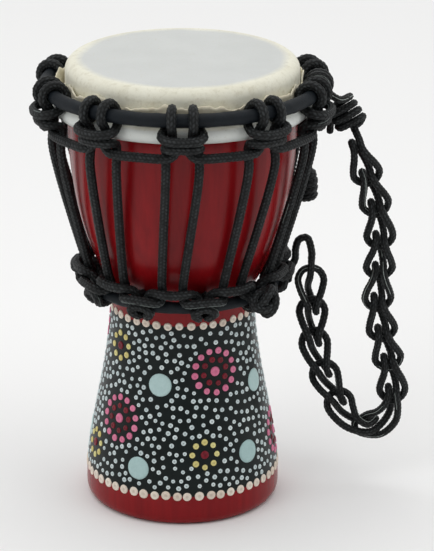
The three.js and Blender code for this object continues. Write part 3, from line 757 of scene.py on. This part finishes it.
foot_side = handled((43.4, 6), (43.4, 33), (31.7, 61), (31.7, 98), 40)
outer = np.vstack([
    [[39.6, 0], [40.9, 0.25], [42.0, 1.0], [42.9, 2.4], [43.3, 4.0]],
    foot_side,
    handled((31.7, 98), (31.7, 104.5), (47.3, 117), (50, 168), 44),
    [[50, 168], [50, 183]],
    arc((46, 198), 4, 0, 90, 8),
])
inner = np.vstack([
    [[44.6, 202], [44.0, 201.4]],
    handled((43.6, 190), (43.6, 117), (43.6, 112), (20.5, 106), 30),
    handled((20.5, 106), (20.5, 101), (20.5, 97), (20.5, 92), 4),
    handled((20.5, 92), (20.5, 50), (35.4, 33), (35.4, 0), 24),
    [[35.4, 0]],
])
outline = np.vstack([outer, inner])
angles = np.arange(240) * 1.5
shell_rings = np.stack([
    np.stack([outline[:, 0] * math.cos(math.radians(a)), outline[:, 0] * math.sin(math.radians(a)),
              outline[:, 1]], 1) for a in angles
])
shell = turned("wooden_shell", shell_rings)
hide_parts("shell")

painted_wood, node, sums, mixed, put = finish("painted_wood")
spot = node("ShaderNodeTexCoord", output=3)
height = node("ShaderNodeSeparateXYZ", spot, output=2)
grain = node(
    "ShaderNodeTexNoise", node("ShaderNodeMapping", spot, None, None, (1, 1, 0.05)),
    None, 420.0, 4.0, 0.62,
)
broad = node(
    "ShaderNodeTexNoise", node("ShaderNodeMapping", spot, None, None, (1, 1, 0.22)),
    None, 60.0, 2.0, 0.5,
)
stain = mixed(grain, (0.14, 0.0015, 0.004, 1), (0.38, 0.008, 0.010, 1))
stain = mixed(sums("MULTIPLY", broad, 0.7), stain, (0.14, 0.002, 0.005, 1))
edge = sums("MULTIPLY", sums("SUBTRACT", broad, 0.5), 0.0016)
height_here = sums("ADD", height, edge)
painted_from, painted_to = 0.0140, 0.0904
ground = sums("MULTIPLY", sums("GREATER_THAN", height_here, painted_from),
              sums("LESS_THAN", height_here, painted_to))
brushed = node("ShaderNodeTexNoise", spot, None, 160.0, 3.0, 0.5)
paint = mixed(brushed, (0.001, 0.003, 0.003, 1), (0.005, 0.011, 0.011, 1))
put(
    Base_Color=mixed(ground, stain, paint), Specular_IOR_Level=0.2,
    Roughness=sums("ADD", sums("MULTIPLY", ground, 0.1), 0.27),
    Normal=node("ShaderNodeBump", 0.12, 0.0002, None, grain),
)
raw_wood, node, sums, mixed, put = finish("raw_wood")
spot = node("ShaderNodeTexCoord", output=3)
grain = node(
    "ShaderNodeTexNoise", node("ShaderNodeMapping", spot, None, None, (1, 1, 0.06)),
    None, 300.0, 5.0, 0.65,
)
put(Base_Color=mixed(grain, (0.16, 0.045, 0.022, 1), (0.36, 0.13, 0.06, 1)), Roughness=0.8,
    Normal=node("ShaderNodeBump", 0.4, 0.0004, None, grain))
shell.data.materials.append(painted_wood)
shell.data.materials.append(raw_wood)
bare = []
for polygon in shell.data.polygons:
    x, y, z = polygon.center
    reach, z = math.hypot(x, y) / mm, z / mm
    face_out = polygon.normal.x * x + polygon.normal.y * y
    bare.append(1 if (face_out < 0 and reach < 45) or z < 0.01 else 0)
shell.data.polygons.foreach_set("material_index", bare)

# Dot painting on the foot: drops of thick paint in the common dotted manner, with rows of
# cream dots along both edges, pale discs, ringed flowers and small dots strewn between them.
foot_z, foot_r = foot_side[:, 1], foot_side[:, 0]


def foot_radius(z):
    return np.interp(z, foot_z, foot_r)


drop_rings = np.array([[0.0, 0.35], [0.3, 0.55], [0.58, 1.0], [0.84, 0.8], [1.0, -0.4]])


def paint_drops(name, drops, surface, sides):
    """Low domes with a dimple, laid on the foot: each is (angle, height, radius, thickness)."""
    drops = np.asarray(drops, float)
    turn = np.arange(sides) * 2 * np.pi / sides
    share = np.vstack([[[0.0, 0.0]]] + [
        np.stack([r * np.cos(turn), r * np.sin(turn)], 1) for r, _ in drop_rings[1:]
    ])
    rise = np.concatenate([[drop_rings[0, 1]]] + [[h] * sides for _, h in drop_rings[1:]])
    angle, z, radius, thick = (drops[:, i:i + 1] for i in range(4))
    slope = (foot_radius(z + 0.5) - foot_radius(z - 0.5))
    upright = 1 / np.sqrt(1 + slope**2)
    z_here = z + radius * share[:, 1] * upright
    on = foot_radius(z_here) + thick * rise
    turned_by = np.radians(angle) + radius * share[:, 0] / foot_radius(z)
    points = np.stack([on * np.cos(turned_by), on * np.sin(turned_by), z_here], -1)
    faces = [(0, 1 + j, 1 + (j + 1) % sides) for j in range(sides)]
    for ring in range(len(drop_rings) - 2):
        a, b = 1 + ring * sides, 1 + (ring + 1) * sides
        faces += [(a + j, b + j, b + (j + 1) % sides, a + (j + 1) % sides) for j in range(sides)]
    last = 1 + (len(drop_rings) - 2) * sides
    faces.append(tuple(last + j for j in range(sides))[::-1])
    width = len(rise)
    mesh = bpy.data.meshes.new(name)
    mesh.from_pydata(
        (points.reshape(-1, 3) * mm).tolist(), [],
        [tuple(k + d * width for k in face) for d in range(len(drops)) for face in faces],
    )
    whole = bmesh.new()
    whole.from_mesh(mesh)
    bmesh.ops.recalc_face_normals(whole, faces=whole.faces)
    whole.to_mesh(mesh)
    whole.free()
    mesh.polygons.foreach_set("use_smooth", [True] * len(mesh.polygons))
    mesh.materials.append(surface)
    reach = np.tile(np.concatenate([[0.0]] + [[r] * sides for r, _ in drop_rings[1:]]),
                    len(drops))
    tone = np.repeat(chance.uniform(0, 1, len(drops)), width)
    corners = np.zeros(len(mesh.loops), int)
    mesh.loops.foreach_get("vertex_index", corners)
    mesh.uv_layers.new(name="UVMap").data.foreach_set(
        "uv", np.stack([reach[corners], tone[corners]], 1).ravel()
    )
    made = bpy.data.objects.new(name, mesh)
    scene.collection.objects.link(made)
    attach(made, "drum")
    return made


def drop_paint(name, dark, light, dimple=0.55):
    """Thick paint, with painted shade darkening each drop's dimple."""
    made, node, sums, mixed, put = finish(name)
    spread = node("ShaderNodeSeparateXYZ", node("ShaderNodeUVMap", uv_map="UVMap")).node.outputs
    spot = node("ShaderNodeTexCoord", output=3)
    mottle = node("ShaderNodeTexNoise", spot, None, 900.0, 2.0, 0.5)
    tone = sums("ADD", sums("MULTIPLY", spread[1], 0.5), sums("MULTIPLY", mottle, 0.5))
    # Painted shade: the colour darkens towards each drop's middle, over its dimple, down to the
    # deep tone below.
    middle = node("ShaderNodeMapRange", spread[0], 0.15, 0.5, dimple, 0.0)
    deep = tuple(c * 0.45 for c in dark) + (1,)
    colour = mixed(middle, mixed(tone, (*dark, 1), (*light, 1)), deep)
    put(Base_Color=colour, Roughness=0.42, Specular_IOR_Level=0.3)
    return made


def foot_distance(one, other):
    gap = np.radians((one[0] - other[0] + 180) % 360 - 180)
    return math.hypot(gap * float(foot_radius((one[1] + other[1]) / 2)), one[1] - other[1])


chance = np.random.default_rng(7)
discs = [(-106.5, 63.5), (-26.6, 58.9), (-118.1, 25.2), (-44.9, 29.9), (33, 40), (62, 74),
         (104, 30), (150, 62), (178, 30)]
pink_flowers = [(-65.1, 69.0), (-136.9, 44.7), (-6, 30), (84, 52), (166, 82)]
yellow_flowers = [(-76.0, 32.7), (-145.6, 76.5), (20, 66), (128, 40), (120, 76), (-160, 28)]
cream, pale, pinks, reds, yellows, small = [], [], [], [], [], []
for count, row_height, stray, least, most in ((39, 90.3, 0.5, 1.85, 2.1),
                                              (54, 14.1, 0.4, 2.05, 2.3)):
    for number in range(count):
        cream.append((number * 360 / count + chance.normal(0, stray),
                      row_height + chance.normal(0, 0.15), chance.uniform(least, most), 0.5))
for angle, z in discs:
    pale.append((angle, z, 5.5, 0.42))


def ringed(angle, z, distance, count, radius, thick, phase):
    return [(angle + math.degrees(distance * math.cos(t) / float(foot_radius(z))),
             z + distance * math.sin(t), radius * chance.uniform(0.92, 1.08), thick)
            for t in (phase + 2 * math.pi * k / count for k in range(count))]


for angle, z in pink_flowers:
    pinks.append((angle, z, 2.35, 0.5))
    pinks += ringed(angle, z, 9.4, 13, 1.6, 0.45, chance.uniform(0, 1))
    reds += ringed(angle, z, 5.5, 8, 1.4, 0.4, chance.uniform(0, 1))
for angle, z in yellow_flowers:
    reds.append((angle, z, 2.0, 0.5))
    yellows += ringed(angle, z, 5.6, 8, 1.45, 0.45, chance.uniform(0, 1))
taken = [(p, 6.9) for p in discs] + [(p, 12.4) for p in pink_flowers]
taken += [(p, 8.4) for p in yellow_flowers]
small_gap, trials = 3.05, 40000
for _ in range(trials):
    place = (chance.uniform(0, 360), chance.uniform(17.6, 87.4))
    if chance.uniform() > foot_radius(place[1]) / 43.4:
        continue
    if any(foot_distance(place, p) < gap for p, gap in taken):
        continue
    taken.append((place, small_gap))
    small.append((*place, chance.uniform(0.95, 1.25), 0.36))
# Each row: name, drops, sides, how strong the painted shade in the dimples is, and the paint's two
# tones.
for name, drops, sides, dimple, dark, light in (
    ("dots_cream", cream, 16, 0.35, (0.66, 0.52, 0.42), (0.90, 0.84, 0.74)),
    ("discs_pale", pale, 32, 0.0, (0.30, 0.47, 0.47), (0.52, 0.68, 0.67)),
    ("dots_pink", pinks, 14, 0.25, (0.60, 0.13, 0.25), (0.80, 0.25, 0.40)),
    ("dots_red", reds, 12, 0.5, (0.10, 0.002, 0.010), (0.24, 0.006, 0.020)),
    ("dots_yellow", yellows, 12, 0.3, (0.62, 0.50, 0.16), (0.80, 0.76, 0.34)),
    ("dots_small", small, 9, 0.75, (0.50, 0.60, 0.62), (0.78, 0.86, 0.86)),
):
    paint_drops(name, drops, drop_paint("paint_" + name, dark, light, dimple), sides)

# Head: a goat skin with its hair shaved off, stretched over the bearing edge, in under the
# steel hoop, round it and up behind the crown ring, where its cut edge stands up in waves.
thickness, hoop_distance, hoop_height = 0.7, 53.5, 184.3
wrap = 2.2 + 0.65


def skin_rings():
    made = []
    phases = chance.uniform(0, 2 * np.pi, 40)
    for a in np.arange(300) * 1.2:
        t = math.radians(a)
        knot_near = 1 - math.sin(math.radians((a - front_angle) * knot_count / 2)) ** 4
        tie_near = math.exp(-((((a + 180 - strap_top_angle) % 360 - 180) / 9) ** 2))
        lean = 3.4 * (1 - knot_near) * (1 - tie_near)
        wave = 0.8 * (math.sin(7 * t) + math.sin(13 * t))
        ragged = sum(math.sin(n * t + phases[n % 40]) for n in (19, 29, 41, 57, 83)) * 0.28
        pleat = sum(math.sin(n * t + phases[n % 37]) for n in (31, 47, 67, 89, 113)) / 5
        flap = hoop_distance - wrap + thickness + 0.3 - 0.035
        top = 196.4 + wave + ragged
        line = np.vstack([
            [[0, 202.65], [12, 202.65], [24, 202.65], [34, 202.65], [41, 202.64]],
            arc((46, 198), 4.65, 90, 0, 10),
            [[50.65, 193.5]],
            arc((hoop_distance, hoop_height), wrap, 180, 450, 24),
            [[hoop_distance - 1.0, hoop_height + 0.93 * wrap],
             [flap + 0.25, hoop_height + 0.86 * wrap],
             [flap, hoop_height + 1.15 * wrap], [flap + 0.1 * lean, hoop_height + 1.6 * wrap],
             [flap + 0.28 * lean, 190.6], [flap + 0.5 * lean, 192.8],
             [flap + 0.76 * lean + 0.1 * pleat, 194.6],
             [flap + 0.95 * lean + 0.3 * pleat, (194.6 + top) / 2],
             [flap + lean + 0.45 * pleat, top]],
        ])
        fold = np.interp(line[:, 1], [181, 186, 193, 199], [0.10, 0.28, 0.16, 0])
        fold[line[:, 0] < 50] = 0
        fold[-9:] *= 0.5
        line[:, 0] += fold * pleat * 0.7
        shelf = crown_back_drop / 2 / crown_radius * (line[:, 0] * math.sin(t) + crown_radius)
        shelf[:16] = 0
        shelf[16] *= 0.5
        line[:, 1] -= shelf
        before = np.vstack([line[:1], line[:-1]])
        after = np.vstack([line[1:], line[-1:]])
        along = after - before
        along /= np.linalg.norm(along, axis=1)[:, None]
        along[0] = (1, 0)
        half = np.full(len(line), thickness / 2)
        half[-1] = 0.22
        out = np.stack([line[:, 0] - along[:, 1] * half, line[:, 1] + along[:, 0] * half], 1)
        back = np.stack([line[:, 0] + along[:, 1] * half, line[:, 1] - along[:, 0] * half], 1)
        out[0, 0] = back[0, 0] = 0
        outline = np.vstack([out, back[::-1]])
        made.append(np.stack([
            outline[:, 0] * math.cos(t), outline[:, 0] * math.sin(t), outline[:, 1]
        ], 1))
    return np.array(made)


skin = turned("goat_skin_head", skin_rings())
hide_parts("drumhead_skin")
goat_skin, node, sums, mixed, put = finish("goat_skin")
spot = node("ShaderNodeTexCoord", output=3)
x, y, z = node("ShaderNodeSeparateXYZ", spot).node.outputs
blotch = node("ShaderNodeTexNoise", spot, None, 45.0, 4.0, 0.6)
pores = node("ShaderNodeTexNoise", spot, None, 900.0, 3.0, 0.6)
distance = sums("SQRT", sums("ADD", sums("MULTIPLY", x, x), sums("MULTIPLY", y, y)))
rim = sums("ADD", distance, sums("MULTIPLY", sums("SUBTRACT", blotch, 0.5), 0.006))
on_rim = node("ShaderNodeMapRange", rim, 0.0425, 0.0465, 0.0, 1.0)
low = node("ShaderNodeMapRange", z, 0.1885, 0.1865, 0.0, 1.0)
flat = mixed(blotch, (0.50, 0.515, 0.50, 1), (0.60, 0.615, 0.60, 1))
side = mixed(blotch, (0.64, 0.61, 0.47, 1), (0.82, 0.82, 0.73, 1))
fine = node("ShaderNodeTexNoise", spot, None, 330.0, 5.0, 0.72)
side = mixed(node("ShaderNodeMapRange", fine, 0.5, 0.72, 0.0, 0.5), side, (0.45, 0.41, 0.29, 1))
on_flap = node("ShaderNodeMapRange", distance, 0.0512, 0.0520, 0.0, 1.0)
side = mixed(on_flap, side, mixed(fine, (0.50, 0.43, 0.27, 1), (0.86, 0.83, 0.70, 1)))
# Skin round the hoop, below the rim: its paler grey is partly its own colour and partly painted
# light, made brighter to make up for the shade it lies in.
band_with_painted_light = mixed(blotch, (0.74, 0.77, 0.73, 1), (0.88, 0.91, 0.88, 1))
colour = mixed(low, mixed(on_rim, flat, side), band_with_painted_light)
speckle = sums("MULTIPLY", sums("LESS_THAN", pores, 0.36), 0.25)
colour = mixed(speckle, colour, (0.50, 0.45, 0.33, 1))
relief = sums("ADD", sums("MULTIPLY", pores, 0.35), blotch)
put(Base_Color=colour, Roughness=0.62, Specular_IOR_Level=0.35,
    Normal=node("ShaderNodeBump", 0.35, 0.0004, None, relief))
skin.data.materials.append(goat_skin)

# Floor and light: a pale floor under a white sky that is dimmer on the camera's side, with one
# large soft lamp overhead and a smaller one at each side in front.
floor_mesh = bpy.data.meshes.new("floor")
floor_mesh.from_pydata([(-6, -6, 0), (6, -6, 0), (6, 6, 0), (-6, 6, 0)], [], [(0, 1, 2, 3)])
floor = bpy.data.objects.new("floor", floor_mesh)
scene.collection.objects.link(floor)
pale_floor, node, sums, mixed, put = finish("pale_floor")
put(Base_Color=(0.87, 0.87, 0.865, 1), Roughness=0.9, Specular_IOR_Level=0.1)
floor_mesh.materials.append(pale_floor)
world = bpy.data.worlds.new("world")
world.use_nodes = True
nodes, links = world.node_tree.nodes, world.node_tree.links
nodes["Background"].inputs[0].default_value = (1, 1, 1, 1)
split, ahead = nodes.new("ShaderNodeSeparateXYZ"), nodes.new("ShaderNodeMapRange")
ahead.interpolation_type = "SMOOTHSTEP"
for place, value in enumerate((-0.85, 0.3, 0.2, 1.0), 1):
    ahead.inputs[place].default_value = value
links.new(nodes.new("ShaderNodeTexCoord").outputs["Generated"], split.inputs[0])
links.new(split.outputs[1], ahead.inputs[0])
links.new(ahead.outputs[0], nodes["Background"].inputs[1])
scene.world = world


def lamp(name, place, aim, size, power):
    data = bpy.data.lights.new(name, "AREA")
    data.size, data.energy = size, power
    made = bpy.data.objects.new(name, data)
    scene.collection.objects.link(made)
    made.location = place
    made.rotation_euler = (Vector(aim) - Vector(place)).to_track_quat("-Z", "Y").to_euler()


lamp("sky", (0, -0.1, 2.4), (0, 0, 0), 3.0, 21.0)
lamp("key", (-0.9, -0.9, 0.9), (0, 0, 0.12), 0.8, 4.0)
lamp("fill", (1.0, -0.6, 0.8), (0, 0, 0.12), 0.7, 2.0)
scene.view_settings.view_transform = "Standard"
